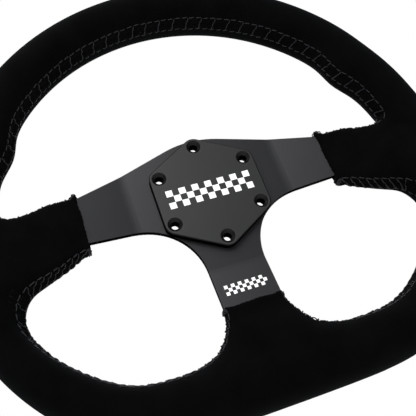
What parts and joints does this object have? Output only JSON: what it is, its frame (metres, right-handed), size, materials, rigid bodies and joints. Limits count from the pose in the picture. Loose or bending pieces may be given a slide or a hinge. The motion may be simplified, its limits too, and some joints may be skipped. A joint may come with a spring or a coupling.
{
  "type": "racing steering wheel",
  "caption": "Flat-bottomed three-spoke racing steering wheel with a dished alloy frame, hexagonal centre plate and a laced suede grip.",
  "frame": {"origin": "centre of the hub's bolt circle on the back face of the spoke frame", "axes": "+Y along the steering axis from the driver towards the column, +Z to twelve o'clock, +X to the driver's right"},
  "size_m": [0.3444, 0.0368, 0.3182],
  "materials": {
    "plate_anodised": "satin black anodised plate",
    "frame_anodised": "satin black anodised, bead blasted",
    "hoop_steel": "cut steel strip",
    "rivet_aluminium": "plain",
    "grip_foam": "moulded polyurethane foam",
    "grip_suede": "napped suede",
    "grip_thread": "bonded nylon thread"
  },
  "bodies": {
    "root": {"centre_plate": "plate_anodised", "spoke_frame": "frame_anodised", "rim_hoop": "hoop_steel", "rivets_left": "rivet_aluminium", "rivets_right": "rivet_aluminium", "rivets_bottom": "rivet_aluminium", "foam_upper": "grip_foam", "foam_lower_left": "grip_foam", "foam_lower_right": "grip_foam", "foam_pad_left": "grip_foam", "foam_pad_right": "grip_foam", "foam_pad_bottom": "grip_foam", "suede_upper": "grip_suede", "suede_lower_left": "grip_suede", "suede_lower_right": "grip_suede", "suede_pad_left": "grip_suede", "suede_pad_right": "grip_suede", "suede_pad_bottom": "grip_suede", "stitching_upper": "grip_thread", "stitching_lower_left": "grip_thread", "stitching_lower_right": "grip_thread"}
  },
  "joints": []
}
